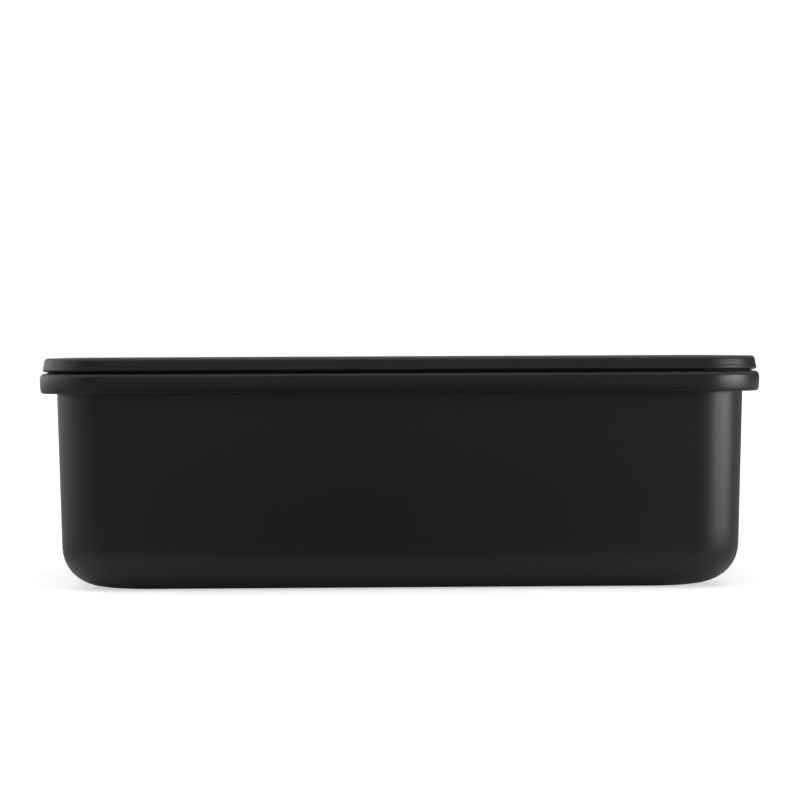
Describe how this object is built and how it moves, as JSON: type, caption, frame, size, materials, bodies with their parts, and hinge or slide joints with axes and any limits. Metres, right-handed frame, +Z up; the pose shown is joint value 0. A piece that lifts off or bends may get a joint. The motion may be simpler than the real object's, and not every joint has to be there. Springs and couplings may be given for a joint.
{
  "type": "lunch box",
  "caption": "Rectangular black-coated steel lunch box with a turned-down rim, a press-on double-skin lid with a silicone seal and vent, and a sliding divider.",
  "frame": {"origin": "on the surface that the box stands on, under the middle of the box", "axes": "+X along the long side, +Z up, -Y to the front; the box is the same from the front and the back"},
  "size_m": [0.21, 0.15, 0.0672],
  "materials": {
    "black_coat": "satin black powder coat",
    "bare_steel": "satin stainless",
    "silicone": "matt"
  },
  "bodies": {
    "tub": {"tub": "black_coat"},
    "lid": {"lid_cover": "black_coat", "lid_liner": "bare_steel", "lid_seal": "silicone", "vent_eyelet": "bare_steel"},
    "vent_plug": {"vent_plug": "silicone"},
    "divider": {"divider_plate": "bare_steel", "divider_grip": "silicone"}
  },
  "joints": [
    {"name": "lid_lift", "type": "slide", "parent": "tub", "child": "lid", "axis": [0, 0, 1], "range_m": [0, 0.09]},
    {"name": "vent_pull", "type": "slide", "parent": "lid", "child": "vent_plug", "axis": [0, 0, 1], "range_m": [0, 0.0025]},
    {"name": "divider_slide", "type": "slide", "parent": "tub", "child": "divider", "axis": [1, 0, 0], "range_m": [-0.105, 0.045]}
  ]
}
